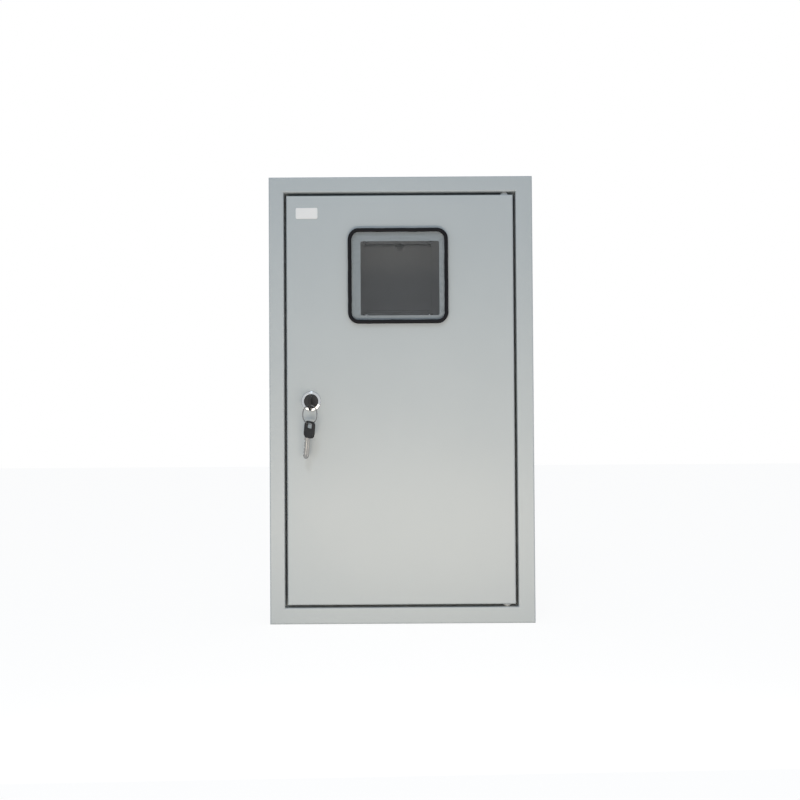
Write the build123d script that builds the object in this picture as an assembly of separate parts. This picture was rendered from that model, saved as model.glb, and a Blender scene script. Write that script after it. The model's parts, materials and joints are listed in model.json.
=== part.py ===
from build123d import *
import math
import os

# Flush-mounted sheet-steel meter enclosure. X is to the right, Y into the wall, Z up, in millimetres.
# The origin is at the middle of the rear wall's outer face, where the box is bolted to the wall.

# Front frame: the opening that the door closes, and the flange that covers the edge of the wall niche
opening_width = 265.6
opening_height = 474.0
flange_left = 17.0
flange_right = 19.0
flange_top = 17.5
flange_bottom = 18.5
flange_lip = 6.0
frame_sheet = 1.2
frame_bend = 0.6
box_depth = 150.0
stop_setback = 23.0
stop_width = 14.0
cut_past = 1.0

# Case shell behind the frame
case_sheet = 1.2
case_bend = 1.2
case_room = 3.6
front_gap = 0.3
wall_hole = 7.0
wall_hole_span_x = 200.0
wall_hole_span_z = 390.0
knockout_radii = (12.75, 16.25, 12.75)
knockout_pitch = 70.0
knockout_setback = 60.0
knockout_slot = 0.8
knockout_web = 3.5

# Corner brackets and frame screws
bracket_leg = 20.0
bracket_side = 22.0
screw_thread = 4.0
thread_play = 0.1
screw_play = 0.5
pan_head = 7.6
pan_head_height = 2.4
pan_head_round = 1.4
pan_recess_span = 4.2
pan_recess_depth = 1.4
screw_slot = 0.9
frame_screw_length = 12.0
clinch_nut = 8.0
clinch_nut_height = 4.0

# Wall lugs that are bedded in plaster
lug_width = 20.0
lug_base = 24.0
lug_reach = 10.0
lug_hole_reach = 6.0
lug_sheet = 1.5
lug_height_z = 150.0
lug_setback = 96.0
lug_hole = 4.5

# Door pan
door_gap_side = 3.0
door_gap_top = 3.6
door_gap_bottom = 3.0
door_sheet = 1.2
door_bend = 0.6
door_fold = 12.0
door_inset = 1.0
door_return = 7.0
door_return_stop = 26.0

# Hinge: pins through the frame's top and bottom, bushes in the door's folds
hinge_from_edge = 9.5
hinge_from_face = 7.0
pin_diameter = 5.0
pin_chamfer = 0.6
pin_head = 9.0
pin_head_height = 2.0
pin_head_round = 0.8
pin_reach = 9.0
pin_proud = 1.5
running_clearance = 0.05
bush_base = 11.4
bush_top = 6.4
bush_sleeve = 8.0
bush_lip = 9.4
bush_lip_height = 1.2
bush_end_gap = 0.3

# Window: cut-out in the door, black gasket and clear insert
window_off_middle = -2.2
window_drop = 92.8
cutout_drop = 95.4
cutout_width = 90.0
cutout_height = 85.2
cutout_corner = 2.0
gasket_width = 114.5
gasket_height = 109.0
gasket_corner = 13.0
gasket_proud = 5.0
gasket_round = 1.8
gasket_overlap = 0.8
lens_rim_width = 107.4
lens_rim_height = 102.0
lens_rim_corner = 9.0
lens_rim_thickness = 2.2
lens_rim_round = 0.7
lens_clearance = 0.25
pan_wall = 1.8
pan_gap_top = 1.9
pan_gap_bottom = 3.7
pan_gap_left = 2.1
pan_gap_right = 7.3
pan_depth = 8.0
pan_corner = 3.0
leg_width = 4.2
leg_thickness = 1.5
leg_span = 74.3
leg_play = 0.1
leg_barb = 1.2
leg_reach = 3.0
pip_diameter = 1.8
pip_height = 0.5
pip_span_x = 98.0
pip_span_z = 38.0

# Badge, placed from the door's free edge and its top
badge_inset = 23.4
badge_drop = 20.4
badge_width = 25.0
badge_height = 12.7
badge_corner = 1.7
badge_thickness = 0.8
badge_round = 0.25

# Cam lock, placed from the door's free edge and its middle height
lock_inset = 27.7
lock_rise = -1.8
bezel_diameter = 22.5
bezel_height = 2.0
bezel_round = 1.2
lock_body = 18.8
lock_flat = 16.6
lock_length = 22.8
lock_hole_play = 0.2
plug_diameter = 15.4
plug_sink = 0.4
plug_chamfer = 0.4
plug_end_play = 0.2
housing_end_wall = 1.4
plug_neck = 10.0
cam_square = 7.0
cam_gap = 1.3
cam_thickness = 2.0
cam_reach = 25.0
cam_width = 16.0
cam_tongue = 12.8
cam_round = 3.0
cam_screw_head = 9.0
cam_screw_height = 3.0
cam_screw_depth = 2.8
tap_past = 0.2
lock_nut_flats = 24.0
lock_nut_height = 4.0

# Keys: a flat steel blade moulded into a black head
key_head_width = 16.4
key_head_length = 19.4
key_head_thickness = 2.6
key_head_chamfer = 3.0
key_head_offset = 2.3
key_hole_width = 8.0
key_hole_length = 5.7
key_hole_corner = 1.6
key_hole_setback = 5.2
key_blade_width = 8.0
key_blade_length = 23.4
key_blade_thickness = 1.9
key_tang = 7.0
key_tip_bevel = 2.5
key_first_notch = 4.0
key_notch_pitch = 3.6
key_notch_flat = 1.0
key_notch_depths = (1.6, 0.9, 1.9, 1.1, 1.5)
key_groove_width = 1.2
key_groove_depth = 0.3
key_groove_offset = 0.8
key_shoulder = 2.0
slot_play = 0.15

# Key ring and the spare key that hangs on it
ring_wire = 1.3
ring_diameter = 21.3
ring_turn = 46.0
ring_seat = 1.0
spare_seat = 0.35
spare_tilt = 8.0

# Inside: meter plate, mounting rail and its brackets
plate_width = 200.0
plate_height = 180.0
plate_z = 130.0
plate_standoff = 30.0
plate_foot = 14.0
plate_sheet = 1.5
plate_bend = 1.0
plate_stud_offset = 7.7
plate_stud_inset = 21.6
meter_pitch_x = 105.0
meter_pitch_z = 140.0
meter_hole = 5.2
meter_keyhole = 9.5
meter_keyhole_drop = 6.0
meter_slot = 18.0
rail_length = 216.0
rail_width = 35.0
rail_depth = 7.5
rail_channel = 27.0
rail_sheet = 1.0
rail_bend = 0.8
rail_z = -52.0
rail_slot_length = 15.0
rail_slot_width = 6.2
rail_slots_between_brackets = 5
rail_screw_length = 7.0
bracket_span = 150.0
bracket_width = 20.0
bracket_height = 30.0
bracket_foot = 13.0
bracket_stud_offset = 7.0
stud_length = 9.0
stud_nut_flats = 7.0
stud_nut_height = 3.2

# Inside: neutral and earth bars with their terminal screws
bar_length = 112.0
bar_width = 9.0
bar_thickness = 6.0
bar_chamfer = 0.5
bar_ways = 8
bar_pitch = 11.0
bar_wire_hole = 3.8
terminal_screw_head = 6.0
terminal_screw_height = 2.0
terminal_screw_lift = 1.0
terminal_screw_depth = 1.4
terminal_slot_depth = 1.0
neutral_bar_z = -135.0
earth_bar_z = -180.0
bar_foot_height = 18.0
bar_foot_width = 12.0
bar_foot_ear = 11.0
bar_foot_base = 3.0
bar_foot_span = 101.0
bar_foot_chamfer = 1.5
bar_screw_depth = 7.0
bar_bore_past = 1.0

# Earth studs
earth_stud_diameter = 6.0
earth_stud_length = 20.0
earth_stud_chamfer = 0.7
earth_terminal_room = 0.8
earth_nut_flats = 10.0
earth_nut_height = 5.0
earth_washer = 12.0
earth_washer_height = 1.6
case_earth_inset_x = 41.8
case_earth_inset_z = 36.8
door_earth_inset_x = 49.0
door_earth_inset_z = 44.0
door_earth_length = 14.0

# Places that follow from the sizes above
flange_front = -box_depth
flange_back = flange_front + frame_sheet
stop_front = flange_front + stop_setback
stop_back = stop_front + frame_sheet
reveal_outer_x = opening_width / 2 + frame_sheet
reveal_outer_z = opening_height / 2 + frame_sheet
case_inner_x = reveal_outer_x + case_room
case_inner_z = reveal_outer_z + case_room
case_outer_x = case_inner_x + case_sheet
case_outer_z = case_inner_z + case_sheet
case_floor = -case_sheet
frame_screw_x = opening_width / 2 - stop_width / 2
frame_screw_z = opening_height / 2 - stop_width / 2
door_face = flange_front + door_inset
door_rear = door_face + door_sheet
door_edge = door_face + door_fold
door_width = opening_width - 2 * door_gap_side
door_height = opening_height - door_gap_top - door_gap_bottom
door_top = opening_height / 2 - door_gap_top
door_bottom = door_gap_bottom - opening_height / 2
door_z = (door_top + door_bottom) / 2
door_free_edge = -door_width / 2
window_x = window_off_middle
window_z = door_top - window_drop
cutout_x = 0.0
cutout_z = door_top - cutout_drop
badge_x = door_free_edge + badge_inset
badge_z = door_top - badge_drop
lock_x = door_free_edge + lock_inset
lock_z = door_z + lock_rise
hinge_x = door_width / 2 - hinge_from_edge
hinge_y = door_face + hinge_from_face
bush_bore = pin_diameter + 2 * running_clearance
plug_front = door_face - bezel_height + plug_sink
housing_end = door_face + lock_length
plug_shoulder = housing_end - housing_end_wall - plug_end_play
cam_front = housing_end + cam_gap
cam_back = cam_front + cam_thickness
key_seat = plug_front - key_shoulder
key_hole_y = key_seat - key_head_length + key_hole_setback
key_hole_z = lock_z - key_head_offset
ring_top_z = key_hole_z - key_hole_width / 2 + ring_wire / 2 + ring_seat
ring_z = ring_top_z - ring_diameter / 2
ring_bottom_z = ring_top_z - ring_diameter
plate_front = -plate_standoff - plate_sheet
bracket_front = case_floor - plate_standoff
bar_back = case_floor - bar_foot_height
rail_slot_pitch = bracket_span / (rail_slots_between_brackets + 1)
case_earth_x = case_inner_x - case_earth_inset_x
case_earth_z = case_earth_inset_z - case_inner_z
door_earth_x = door_width / 2 - door_earth_inset_x
door_earth_z = door_bottom + door_earth_inset_z


def slab(sketch, front, back):
    """Solid of a sketch drawn in X and Z, between the depths front and back."""
    return extrude(Plane.XZ.offset(-back) * sketch, amount=back - front)


def column(sketch, low, high):
    """Solid of a sketch drawn in X and Y, between the heights low and high."""
    return extrude(Plane.XY.offset(low) * sketch, amount=high - low)


def rod(diameter, front, back, x, z):
    """Round bar along Y."""
    return slab(Pos(x, z) * Circle(diameter / 2), front, back)


def hexagon(flats):
    """Hexagon of a size across its flats."""
    return RegularPolygon(flats / 2, 6, major_radius=False)


def rim_edges(shape, depth, width, height, x=0.0, z=0.0):
    """Edges at one depth that run round a rectangle."""
    def on_rim(edge):
        middle = edge.center()
        box = edge.bounding_box()
        flat = abs(middle.Y - depth) < 0.01 and box.size.Y < 0.01
        at_side = abs(abs(middle.X - x) - width / 2) < 0.01 and box.size.X < 0.01
        at_end = abs(abs(middle.Z - z) - height / 2) < 0.01 and box.size.Z < 0.01
        return flat and (at_side or at_end)
    return shape.edges().filter_by(on_rim)


def corners(x, z):
    """The four places at plus and minus x and z."""
    return [(sx * x, sz * z) for sx in (-1, 1) for sz in (-1, 1)]


def joined(pieces):
    """Several separate solids as one group."""
    return Compound(children=[solid for piece in pieces for solid in piece.solids()])


def pan_screw(x, z, seat, length):
    """Pan-head screw along Y, head towards the front of its seat, with a cross recess."""
    head = rod(pan_head, seat - pan_head_height, seat, x, z)
    top = seat - pan_head_height
    head = fillet(rim_circle(head, top), pan_head_round)
    shank = rod(screw_thread - thread_play, seat, seat + length, x, z)
    recess = Rectangle(pan_recess_span, screw_slot) + Rectangle(screw_slot, pan_recess_span)
    recess = slab(Pos(x, z) * recess, top, top + pan_recess_depth)
    return head + shank - recess


def rim_circle(shape, depth):
    """Round edges at one depth."""
    at_depth = shape.edges().filter_by(GeomType.CIRCLE)
    return at_depth.filter_by(lambda edge: abs(edge.center().Y - depth) < 0.01)


def case_shell():
    """Folded tub, open to the front, with knockouts above and below and wall holes in its floor."""
    front = flange_back + front_gap
    outer = slab(Rectangle(2 * case_outer_x, 2 * case_outer_z), front, 0)
    outer = fillet(rim_edges(outer, 0, 2 * case_outer_x, 2 * case_outer_z), case_bend + case_sheet)
    inner = slab(Rectangle(2 * case_inner_x, 2 * case_inner_z), front, case_floor)
    inner = fillet(rim_edges(inner, case_floor, 2 * case_inner_x, 2 * case_inner_z), case_bend)
    shell = outer - inner
    for x, z in corners(wall_hole_span_x / 2, wall_hole_span_z / 2):
        shell -= rod(wall_hole, case_floor - cut_past, cut_past, x, z)
    for number, radius in enumerate(knockout_radii):
        x = (number - (len(knockout_radii) - 1) / 2) * knockout_pitch
        ring = Circle(radius + knockout_slot) - Circle(radius) - Rectangle(knockout_web, 3 * radius)
        shell -= column(Pos(x, -knockout_setback) * ring, -case_outer_z - cut_past, case_outer_z + cut_past)
    return shell


def corner_brackets():
    """Angle pieces spot-welded in the case's corners, which the frame is screwed to."""
    pieces = []
    half = case_sheet / 2
    for x, z in corners(frame_screw_x, frame_screw_z):
        side = math.copysign(1, z)
        wall = side * (case_inner_z - half)
        path = FilletPolyline(
            (stop_back + half, wall - side * bracket_leg),
            (stop_back + half, wall),
            (stop_back + bracket_leg, wall),
            radius=case_bend,
        )
        section = Plane.YZ.offset(x - bracket_side / 2) * trace(path, line_width=case_sheet)
        angle = extrude(section, amount=bracket_side)
        hole = rod(screw_thread + screw_play, stop_back, stop_back + case_sheet, x, z)
        pieces.append(angle - hole)
    return joined(pieces)


def clinch_nuts():
    """Round nuts pressed into the backs of the corner brackets."""
    front = stop_back + case_sheet
    pieces = []
    for x, z in corners(frame_screw_x, frame_screw_z):
        nut = rod(clinch_nut, front, front + clinch_nut_height, x, z)
        pieces.append(nut - rod(screw_thread, front, front + clinch_nut_height, x, z))
    return joined(pieces)


def frame_screws():
    """Screws from the frame's stop flange into the clinch nuts."""
    return joined([
        pan_screw(x, z, stop_front, frame_screw_length)
        for x, z in corners(frame_screw_x, frame_screw_z)
    ])


def wall_lugs():
    """Bent lugs welded to the case's sides, which the plaster holds."""
    pieces = []
    half = lug_sheet / 2
    for x, z in corners(case_outer_x, lug_height_z):
        side = math.copysign(1, x)
        path = FilletPolyline(
            (x + side * half, -lug_setback + lug_base),
            (x + side * half, -lug_setback),
            (x + side * lug_reach, -lug_setback),
            radius=case_bend,
        )
        lug = column(trace(path, line_width=lug_sheet), z - lug_width / 2, z + lug_width / 2)
        hole = rod(lug_hole, -lug_setback - lug_sheet, -lug_setback + lug_sheet, x + side * lug_hole_reach, z)
        pieces.append(lug - hole)
    return joined(pieces)


def front_frame():
    """One folded sheet: flange with its edge folded back, reveal round the door, stop flange."""
    width = opening_width + flange_left + flange_right
    height = opening_height + flange_top + flange_bottom
    middle_x = (flange_right - flange_left) / 2
    middle_z = (flange_top - flange_bottom) / 2
    place = Pos(middle_x, middle_z)
    outside = frame_bend + frame_sheet
    lip_back = flange_front + flange_lip

    plate = slab(place * Rectangle(width, height), flange_front, lip_back)
    plate = fillet(rim_edges(plate, flange_front, width, height, middle_x, middle_z), outside)
    inner_width = width - 2 * frame_sheet
    inner_height = height - 2 * frame_sheet
    hollow = slab(place * Rectangle(inner_width, inner_height), flange_back, lip_back)
    hollow = fillet(rim_edges(hollow, flange_back, inner_width, inner_height, middle_x, middle_z), frame_bend)
    frame = plate - hollow

    frame += slab(Rectangle(2 * reveal_outer_x, 2 * reveal_outer_z), flange_back, stop_back)
    frame -= slab(Rectangle(opening_width, opening_height), flange_front, stop_front)
    stop_opening = Rectangle(opening_width - 2 * stop_width, opening_height - 2 * stop_width)
    frame -= slab(stop_opening, stop_front, stop_back)
    frame = fillet(rim_edges(frame, flange_front, opening_width, opening_height), outside)
    frame = fillet(rim_edges(frame, flange_back, 2 * reveal_outer_x, 2 * reveal_outer_z), frame_bend)
    frame = fillet(rim_edges(frame, stop_front, opening_width, opening_height), frame_bend)
    frame = fillet(rim_edges(frame, stop_back, 2 * reveal_outer_x, 2 * reveal_outer_z), outside)

    for x, z in corners(frame_screw_x, frame_screw_z):
        frame -= rod(screw_thread + screw_play, stop_front, stop_back, x, z)
    pin_hole = Pos(hinge_x, hinge_y) * Circle(pin_diameter / 2)
    frame -= column(pin_hole, -reveal_outer_z, reveal_outer_z)
    return frame


def hinge_pin(up):
    """Headed pin through the frame's top or bottom, head outside the reveal. up is 1 or -1."""
    shank_end = (door_top if up > 0 else -door_bottom) - pin_reach
    shank = column(Circle(pin_diameter / 2), shank_end, reveal_outer_z)
    shank = chamfer(shank.faces().sort_by(Axis.Z)[0].edges(), pin_chamfer)
    head = column(Circle(pin_head / 2), reveal_outer_z, reveal_outer_z + pin_head_height)
    head = fillet(head.faces().sort_by(Axis.Z)[-1].edges(), pin_head_round)
    pin = shank + head
    if up < 0:
        pin = mirror(pin, about=Plane.XY)
    return Pos(hinge_x, hinge_y, 0) * pin


def hinge_bush(up):
    """Turned bush snapped into the door's fold, with a cone that fills the gap to the frame."""
    seat = door_top if up > 0 else -door_bottom
    gap = opening_height / 2 - seat
    profile = Polyline(
        (bush_bore / 2, seat + gap - bush_end_gap),
        (bush_top / 2, seat + gap - bush_end_gap),
        (bush_base / 2, seat),
        (bush_sleeve / 2, seat),
        (bush_sleeve / 2, seat - door_sheet),
        (bush_lip / 2, seat - door_sheet),
        (bush_sleeve / 2, seat - door_sheet - bush_lip_height),
        (bush_sleeve / 2, seat - pin_reach + pin_proud),
        (bush_bore / 2, seat - pin_reach + pin_proud),
        close=True,
    )
    bush = revolve(Plane.XZ * make_face(profile), Axis.Z)
    if up < 0:
        bush = mirror(bush, about=Plane.XY)
    return Pos(hinge_x, hinge_y, 0) * bush


def door_panel():
    """Shallow folded pan with return edges at its sides, window cut-out and lock hole."""
    place = Pos(0, door_z)
    outside = door_bend + door_sheet
    pan = slab(place * Rectangle(door_width, door_height), door_face, door_edge)
    pan = fillet(rim_edges(pan, door_face, door_width, door_height, 0, door_z), outside)
    inner_width = door_width - 2 * door_sheet
    inner_height = door_height - 2 * door_sheet
    hollow = slab(place * Rectangle(inner_width, inner_height), door_rear, door_edge)
    hollow = fillet(rim_edges(hollow, door_rear, inner_width, inner_height, 0, door_z), door_bend)
    pan -= hollow
    for side in (-1, 1):
        strip_x = side * (door_width - door_sheet - door_return) / 2
        strip = Rectangle(door_return + door_sheet, door_height - 2 * door_return_stop)
        pan += slab(Pos(strip_x, door_z) * strip, door_edge - door_sheet, door_edge)
    for up, seat in ((1, door_top), (-1, -door_bottom)):
        hole = Pos(hinge_x, hinge_y) * Circle(bush_sleeve / 2 + running_clearance)
        low, high = sorted((up * (seat - door_sheet - door_bend), up * seat))
        pan -= column(hole, low, high)
    cutout = Pos(cutout_x, cutout_z) * RectangleRounded(cutout_width, cutout_height, cutout_corner)
    pan -= slab(cutout, door_face, door_rear)
    round_hole = Circle(lock_body / 2 + lock_hole_play)
    keyed_hole = round_hole & Rectangle(lock_flat + 2 * lock_hole_play, 2 * lock_body)
    pan -= slab(Pos(lock_x, lock_z) * keyed_hole, door_face, door_rear)
    return pan


def window_gasket():
    """Soft rubber frame on the door's face, with a lip over the rim of the clear insert."""
    place = Pos(window_x, window_z)
    front = door_face - gasket_proud
    body = slab(place * RectangleRounded(gasket_width, gasket_height, gasket_corner), front, door_face)
    seat_width = lens_rim_width + 2 * lens_clearance
    seat_height = lens_rim_height + 2 * lens_clearance
    seat = RectangleRounded(seat_width, seat_height, lens_rim_corner + lens_clearance)
    body -= slab(place * seat, door_face - lens_rim_thickness - lens_clearance, door_face)
    lip_width = lens_rim_width - 2 * gasket_overlap
    lip_height = lens_rim_height - 2 * gasket_overlap
    mouth = RectangleRounded(lip_width, lip_height, lens_rim_corner - gasket_overlap)
    body -= slab(place * mouth, front, door_face)
    front_rims = body.faces().sort_by(Axis.Y)[0].edges()
    return fillet(front_rims, gasket_round)


def window_lens():
    """Clear moulding: rim on the door, pan through the cut-out, four snap legs and four pips."""
    front = door_face - lens_rim_thickness
    rim = RectangleRounded(lens_rim_width, lens_rim_height, lens_rim_corner)
    lens = slab(Pos(window_x, window_z) * rim, front, door_face)
    lens = fillet(lens.faces().sort_by(Axis.Y)[0].edges(), lens_rim_round)

    pan_left = cutout_x - cutout_width / 2 + pan_gap_left
    pan_right = cutout_x + cutout_width / 2 - pan_gap_right
    pan_low = cutout_z - cutout_height / 2 + pan_gap_bottom
    pan_high = cutout_z + cutout_height / 2 - pan_gap_top
    pan_place = Pos((pan_left + pan_right) / 2, (pan_low + pan_high) / 2)
    pan_width = pan_right - pan_left
    pan_height = pan_high - pan_low
    pan_back = door_face + pan_depth
    lens += slab(pan_place * RectangleRounded(pan_width, pan_height, pan_corner), front, pan_back)
    hollow_width = pan_width - 2 * pan_wall
    hollow_height = pan_height - 2 * pan_wall
    hollow = RectangleRounded(hollow_width, hollow_height, pan_corner - pan_wall / 2)
    lens -= slab(pan_place * hollow, front, pan_back - pan_wall)

    for x in (window_x - leg_span / 2, window_x + leg_span / 2):
        for side in (-1, 1):
            edge = cutout_z + side * cutout_height / 2
            inner = edge - side * (leg_thickness + leg_play)
            outer = edge - side * leg_play
            profile = make_face(Polyline(
                (door_face, inner),
                (door_face, outer),
                (door_rear + leg_play, outer),
                (door_rear + leg_play, edge + side * leg_barb),
                (door_rear + leg_reach, inner),
                close=True,
            ))
            lens += extrude(Plane.YZ.offset(x - leg_width / 2) * profile, amount=leg_width)
    for x, z in corners(pip_span_x / 2, pip_span_z / 2):
        lens += rod(pip_diameter, front - pip_height, front, window_x + x, window_z + z)
    return lens


def badge_plate():
    """Small blank plate stuck on the door."""
    outline = Pos(badge_x, badge_z) * RectangleRounded(badge_width, badge_height, badge_corner)
    badge = slab(outline, door_face - badge_thickness, door_face)
    return fillet(badge.faces().sort_by(Axis.Y)[0].edges(), badge_round)


def lock_housing():
    """Die-cast barrel with two flats and a round bezel, bored for the plug."""
    bezel = rod(bezel_diameter, door_face - bezel_height, door_face, lock_x, lock_z)
    bezel = fillet(rim_circle(bezel, door_face - bezel_height), bezel_round)
    barrel = Circle(lock_body / 2) & Rectangle(lock_flat, 2 * lock_body)
    housing = bezel + slab(Pos(lock_x, lock_z) * barrel, door_face, housing_end)
    bore = plug_diameter + 2 * running_clearance
    housing -= rod(bore, door_face - bezel_height, housing_end - housing_end_wall, lock_x, lock_z)
    neck_bore = plug_neck + 2 * running_clearance
    return housing - rod(neck_bore, housing_end - housing_end_wall, housing_end, lock_x, lock_z)


def lock_nut():
    """Hexagon nut behind the door."""
    place = Pos(lock_x, lock_z)
    nut = slab(place * hexagon(lock_nut_flats), door_rear, door_rear + lock_nut_height)
    barrel = Circle(lock_body / 2) & Rectangle(lock_flat, 2 * lock_body)
    return nut - slab(place * barrel, door_rear, door_rear + lock_nut_height)


def lock_plug():
    """Turning plug with the key slot in front and a square tail for the cam."""
    plug = rod(plug_diameter, plug_front, plug_shoulder, lock_x, lock_z)
    plug = chamfer(rim_circle(plug, plug_front), plug_chamfer)
    plug += rod(plug_neck, plug_shoulder, cam_front, lock_x, lock_z)
    place = Pos(lock_x, lock_z)
    plug += slab(place * Rectangle(cam_square, cam_square), cam_front, cam_back)
    slot = Rectangle(key_blade_thickness + 2 * slot_play, key_blade_width + 2 * slot_play)
    slot_end = key_seat + key_blade_length + slot_play
    plug -= slab(place * slot, plug_front, slot_end)
    return plug - rod(screw_thread, cam_back - cam_screw_depth - tap_past, cam_back, lock_x, lock_z)


def lock_cam():
    """Flat steel tongue on the plug's square, which turns behind the stop flange."""
    eye = Circle(cam_width / 2)
    tongue = Pos(0, cam_reach / 2) * Rectangle(cam_tongue, cam_reach)
    outline = eye + tongue
    outline = fillet(outline.vertices().sort_by(Axis.Y)[-2:], cam_round)
    outline -= Rectangle(cam_square, cam_square)
    return slab(Pos(lock_x, lock_z) * outline, cam_front, cam_back)


def cam_screw():
    """Hexagon-head screw that holds the cam on the plug's tail."""
    head = slab(Pos(lock_x, lock_z) * hexagon(cam_screw_head), cam_back, cam_back + cam_screw_height)
    return head + rod(screw_thread - thread_play, cam_back - cam_screw_depth, cam_back, lock_x, lock_z)


def key_blade_outline():
    """Blade and tang seen from the side: U across the blade, V from the shoulder to the tip."""
    half = key_blade_width / 2
    points = [(-half, -key_tang), (-half, key_blade_length - key_tip_bevel)]
    points += [(-half + key_tip_bevel, key_blade_length), (half - key_tip_bevel, key_blade_length)]
    for number, depth in reversed(list(enumerate(key_notch_depths))):
        place = key_first_notch + number * key_notch_pitch
        floor = half - depth
        points += [(half, place + key_notch_pitch / 2)]
        points += [(floor, place + key_notch_flat / 2), (floor, place - key_notch_flat / 2)]
    points += [(half, key_first_notch - key_notch_pitch / 2), (half, -key_tang)]
    return make_face(Polyline(*points, close=True))


def key_blade():
    """Steel blade in its own axes: U across, V outwards from the shoulder, flat along W."""
    blade = extrude(key_blade_outline(), amount=key_blade_thickness / 2, both=True)
    groove = Pos(-key_groove_offset, key_blade_length / 2) * Rectangle(key_groove_width, key_blade_length)
    for side in (-1, 1):
        cutter = extrude(groove, amount=key_groove_depth, both=True)
        blade -= Pos(0, 0, side * key_blade_thickness / 2) * cutter
    return blade


def key_head():
    """Black head moulded round the blade's tang, with the ring hole near its far end."""
    outline = Pos(-key_head_offset, -key_head_length / 2) * Rectangle(key_head_width, key_head_length)
    outline = chamfer(outline.vertices(), key_head_chamfer)
    head = extrude(outline, amount=key_head_thickness / 2, both=True)
    hole = RectangleRounded(key_hole_width, key_hole_length, key_hole_corner)
    hole = Pos(-key_head_offset, key_hole_setback - key_head_length) * hole
    head -= extrude(hole, amount=key_head_thickness, both=True)
    tang = Pos(0, -key_tang / 2) * Rectangle(key_blade_width, key_tang)
    return head - extrude(tang, amount=key_blade_thickness / 2, both=True)


# In the lock, U of the key points up, V into the lock and its flat faces look sideways.
lock_key_plane = Plane(origin=(lock_x, key_seat, lock_z), x_dir=(0, 0, 1), z_dir=(-1, 0, 0))

# The ring hangs in the hole of that key, turned about the vertical.
turn = math.radians(ring_turn)
wire_direction = Vector(math.cos(turn), math.sin(turn), 0)
swing_direction = Vector(-math.sin(turn), math.cos(turn), 0)
ring_plane = Plane(origin=(lock_x, key_hole_y, ring_z), x_dir=wire_direction, z_dir=swing_direction)

# The spare key hangs on the ring's lowest point, tilted a little about the wire.
tilt = math.radians(spare_tilt)
spare_down = swing_direction * math.sin(tilt) + Vector(0, 0, -math.cos(tilt))
spare_across = swing_direction * math.cos(tilt) + Vector(0, 0, math.sin(tilt))
wire_in_key = key_hole_setback - key_head_length - key_hole_length / 2 + ring_wire / 2 + spare_seat
ring_bottom = Vector(lock_x, key_hole_y, ring_bottom_z)
spare_origin = ring_bottom - spare_down * wire_in_key + spare_across * key_head_offset
spare_key_plane = Plane(origin=spare_origin, x_dir=spare_across, z_dir=spare_across.cross(spare_down))


def key_ring():
    """Closed wire ring."""
    return ring_plane * Torus(ring_diameter / 2, ring_wire / 2)


def meter_plate():
    """Folded plate behind the window, with feet on the case's floor and holes for a meter."""
    half = plate_sheet / 2
    side = plate_width / 2
    foot = case_floor - half
    face = plate_front + half
    path = FilletPolyline(
        (-side - plate_foot, foot),
        (-side + half, foot),
        (-side + half, face),
        (side - half, face),
        (side - half, foot),
        (side + plate_foot, foot),
        radius=plate_bend + half,
    )
    section = trace(path, line_width=plate_sheet)
    plate = column(section, plate_z - plate_height / 2, plate_z + plate_height / 2)
    for x, z in plate_studs():
        plate -= rod(screw_thread + screw_play, case_floor - plate_sheet, case_floor, x, z)
    top = plate_z + meter_pitch_z / 2
    low = plate_z - meter_pitch_z / 2
    through = (plate_front, plate_front + plate_sheet)
    plate -= rod(meter_keyhole, *through, 0, top - meter_keyhole_drop)
    neck = Rectangle(meter_hole, meter_keyhole_drop)
    plate -= slab(Pos(0, top - meter_keyhole_drop / 2) * neck, *through)
    plate -= rod(meter_hole, *through, 0, top)
    for x in (-meter_pitch_x / 2, meter_pitch_x / 2):
        plate -= slab(Pos(x, low) * SlotOverall(meter_slot, meter_hole), *through)
    return plate


def plate_studs():
    """Places of the studs that hold the meter plate's feet."""
    x = plate_width / 2 + plate_stud_offset
    rise = plate_height / 2 - plate_stud_inset
    return [(side_x, plate_z + side_z) for side_x, side_z in corners(x, rise)]


def bracket_studs():
    """Places of the studs that hold the rail brackets' feet."""
    reach = bracket_width / 2 + bracket_stud_offset
    middles = (-bracket_span / 2, bracket_span / 2)
    return [(middle + side * reach, rail_z) for middle in middles for side in (-1, 1)]


def bar_studs():
    """Places of the studs that hold the feet of the two bars."""
    x = bar_foot_span / 2 + (bar_foot_width + bar_foot_ear) / 2
    return [(side * x, z) for z in (neutral_bar_z, earth_bar_z) for side in (-1, 1)]


def weld_studs():
    """Threaded studs welded to the case's floor."""
    places = plate_studs() + bracket_studs() + bar_studs()
    diameter = screw_thread - thread_play
    return joined([rod(diameter, case_floor - stud_length, case_floor, x, z) for x, z in places])


def stud_nuts():
    """Hexagon nuts on the welded studs."""
    pieces = []
    feet = [(plate_sheet, plate_studs()), (plate_sheet, bracket_studs()), (bar_foot_base, bar_studs())]
    for thickness, places in feet:
        back = case_floor - thickness
        for x, z in places:
            nut = slab(Pos(x, z) * hexagon(stud_nut_flats), back - stud_nut_height, back)
            pieces.append(nut - rod(screw_thread, back - stud_nut_height, back, x, z))
    return joined(pieces)


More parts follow.
